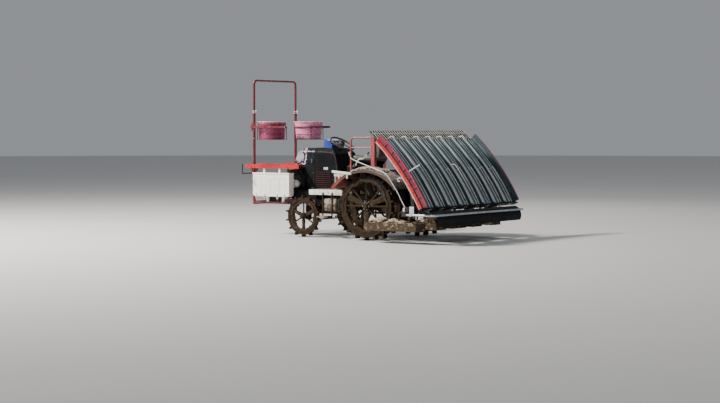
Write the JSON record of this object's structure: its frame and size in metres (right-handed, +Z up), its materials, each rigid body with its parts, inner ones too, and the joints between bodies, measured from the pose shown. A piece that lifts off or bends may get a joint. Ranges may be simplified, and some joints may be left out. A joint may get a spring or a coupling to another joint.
{
  "type": "riding rice transplanter",
  "caption": "Four-wheeled riding rice transplanter with front carriers, operator deck, lift linkage, curved seedling table, floats and rotary planting units.",
  "frame": {"origin": "on the ground, at the middle of the machine's length and width", "axes": "+X forward, +Y to the machine's left, +Z up"},
  "size_m": [3.66, 2.52, 2.267],
  "materials": {
    "cast_grey": "grimy painted castings, mud in the corners",
    "muddy_steel": "dried paddy mud over paint",
    "mud_rubber": "solid rubber with lugs, coated in mud",
    "dark_red_paint": "worn dark red enamel, chipped to rust",
    "bright_red_paint": "sun-lit red enamel, chipped",
    "pale_plastic": "weathered off-white moulding, dusty",
    "white_plastic": "white moulding with faint mud splashes",
    "navy_gloss": "glossy dark navy bonnet",
    "charcoal_plastic": "charcoal moulding",
    "blue_plastic": "blue instrument housing",
    "seat_vinyl": "black vinyl",
    "pink_plastic": "magenta polyethylene",
    "slate_plastic": "blue-grey table moulding, sun-bleached ridges",
    "galvanised": "dull galvanised steel",
    "black_plastic": "wet black polyethylene",
    "lamp_white": "pale lamp housing",
    "engine_grey": "oily engine castings"
  },
  "bodies": {
    "chassis": {"chassis_frame": "cast_grey", "transmission_case": "cast_grey", "engine_block": "engine_grey", "front_axle_housing": "muddy_steel", "rear_axle_housing": "muddy_steel", "step_floor": "pale_plastic", "operator_deck": "pale_plastic", "rear_fenders": "dark_red_paint", "side_boxes": "pale_plastic", "foot_steps": "cast_grey", "seat_base": "charcoal_plastic", "seat_cushion": "seat_vinyl", "seat_back": "seat_vinyl", "dash_cowl": "charcoal_plastic", "instrument_pod": "blue_plastic", "control_levers": "charcoal_plastic", "guard_rails": "bright_red_paint", "headlamps": "lamp_white", "nose_covers": "charcoal_plastic", "rack_posts": "dark_red_paint", "rack_shelves": "bright_red_paint", "rack_rails": "dark_red_paint", "post_hoop": "dark_red_paint", "tub_left": "pink_plastic", "tub_right": "pink_plastic", "side_trays": "white_plastic", "marker_rods": "cast_grey", "hitch_bracket": "cast_grey"},
    "bonnet": {"hood": "navy_gloss"},
    "steering": {"steering_wheel": "charcoal_plastic"},
    "front_knuckle_left": {"knuckle_left": "muddy_steel"},
    "front_knuckle_right": {"knuckle_right": "muddy_steel"},
    "steering_tie_rod": {"tie_rod": "cast_grey"},
    "wheel_front_left": {"front_wheel_left": "muddy_steel", "front_tyre_left": "mud_rubber"},
    "wheel_front_right": {"front_wheel_right": "muddy_steel", "front_tyre_right": "mud_rubber"},
    "wheel_rear_left": {"rear_wheel_left": "muddy_steel", "rear_tyre_left": "mud_rubber"},
    "wheel_rear_right": {"rear_wheel_right": "muddy_steel", "rear_tyre_right": "mud_rubber"},
    "lower_links": {"lift_links": "cast_grey"},
    "upper_link": {"top_link": "cast_grey"},
    "cylinder_barrel": {"lift_barrel": "cast_grey"},
    "cylinder_rod": {"lift_rod": "galvanised"},
    "planter": {"planter_frame": "cast_grey", "drive_cases": "cast_grey", "guide_rail": "black_plastic", "table_supports": "cast_grey", "rear_guard": "galvanised", "rear_apron": "black_plastic", "floats": "muddy_steel"},
    "table": {"seedling_table": "slate_plastic", "table_extension": "galvanised", "side_guards": "bright_red_paint", "press_rods": "galvanised"},
    "rotors": {"planting_rotors": "cast_grey"}
  },
  "joints": [
    {"name": "front_wheel_left_spin", "type": "hinge", "parent": "front_knuckle_left", "child": "wheel_front_left", "pos_m": [0.775, 0.6, 0.3], "axis": [0, 1, 0], "continuous": true},
    {"name": "front_wheel_right_spin", "type": "hinge", "parent": "front_knuckle_right", "child": "wheel_front_right", "pos_m": [0.775, -0.6, 0.3], "axis": [0, 1, 0], "continuous": true},
    {"name": "rear_wheel_left_spin", "type": "hinge", "parent": "chassis", "child": "wheel_rear_left", "pos_m": [-0.425, 0.53, 0.475], "axis": [0, 1, 0], "continuous": true},
    {"name": "rear_wheel_right_spin", "type": "hinge", "parent": "chassis", "child": "wheel_rear_right", "pos_m": [-0.425, -0.53, 0.475], "axis": [0, 1, 0], "continuous": true},
    {"name": "steer_left", "type": "hinge", "parent": "chassis", "child": "front_knuckle_left", "pos_m": [0.775, 0.48, 0.3], "axis": [0, 0, 1], "range_deg": [-35, 35]},
    {"name": "steer_right", "type": "hinge", "parent": "chassis", "child": "front_knuckle_right", "pos_m": [0.775, -0.48, 0.3], "axis": [0, 0, 1], "range_deg": [-35, 35]},
    {"name": "tie_rod_pivot", "type": "hinge", "parent": "front_knuckle_left", "child": "steering_tie_rod", "pos_m": [0.655, 0.48, 0.247], "axis": [0, 0, 1], "range_deg": [-35, 35]},
    {"name": "steering_turn", "type": "hinge", "parent": "chassis", "child": "steering", "pos_m": [0.53, 0, 1.33], "axis": [-0.5, 0, 0.866], "range_deg": [-280, 280]},
    {"name": "bonnet_hinge", "type": "hinge", "parent": "chassis", "child": "bonnet", "pos_m": [1.215, 0, 0.69], "axis": [0, 1, 0], "range_deg": [0, 45]},
    {"name": "lift", "type": "hinge", "parent": "chassis", "child": "lower_links", "pos_m": [-0.6, 0, 0.43], "axis": [0, 1, 0], "range_deg": [-11, 43]},
    {"name": "upper_link_front", "type": "hinge", "parent": "chassis", "child": "upper_link", "pos_m": [-0.6, 0, 0.64], "axis": [0, 1, 0], "range_deg": [-11, 43]},
    {"name": "planter_level", "type": "hinge", "parent": "lower_links", "child": "planter", "pos_m": [-1.18, 0, 0.43], "axis": [0, 1, 0], "range_deg": [-43, 11]},
    {"name": "cylinder_pivot", "type": "hinge", "parent": "chassis", "child": "cylinder_barrel", "pos_m": [-0.56, 0, 0.3], "axis": [0, 1, 0], "range_deg": [-8.01, 31.02]},
    {"name": "cylinder_stroke", "type": "slide", "parent": "cylinder_barrel", "child": "cylinder_rod", "axis": [-0.9265, 0, 0.3764], "range_m": [-0.0165, 0.064]},
    {"name": "table_shift", "type": "slide", "parent": "planter", "child": "table", "axis": [0, 1, 0], "range_m": [-0.14, 0.14]},
    {"name": "rotor_spin", "type": "hinge", "parent": "planter", "child": "rotors", "pos_m": [-1.68, 0, 0.32], "axis": [0, 1, 0], "continuous": true}
  ],
  "couplings": [
    {"joint": "steer_right", "follows": "steer_left", "ratio": 1},
    {"joint": "tie_rod_pivot", "follows": "steer_left", "ratio": -1},
    {"joint": "steering_turn", "follows": "steer_left", "ratio": 8},
    {"joint": "upper_link_front", "follows": "lift", "ratio": 1},
    {"joint": "planter_level", "follows": "lift", "ratio": -1},
    {"joint": "cylinder_pivot", "follows": "lift", "ratio": 0.719},
    {"joint": "cylinder_stroke", "follows": "lift", "m_per_rad": 0.08514}
  ]
}
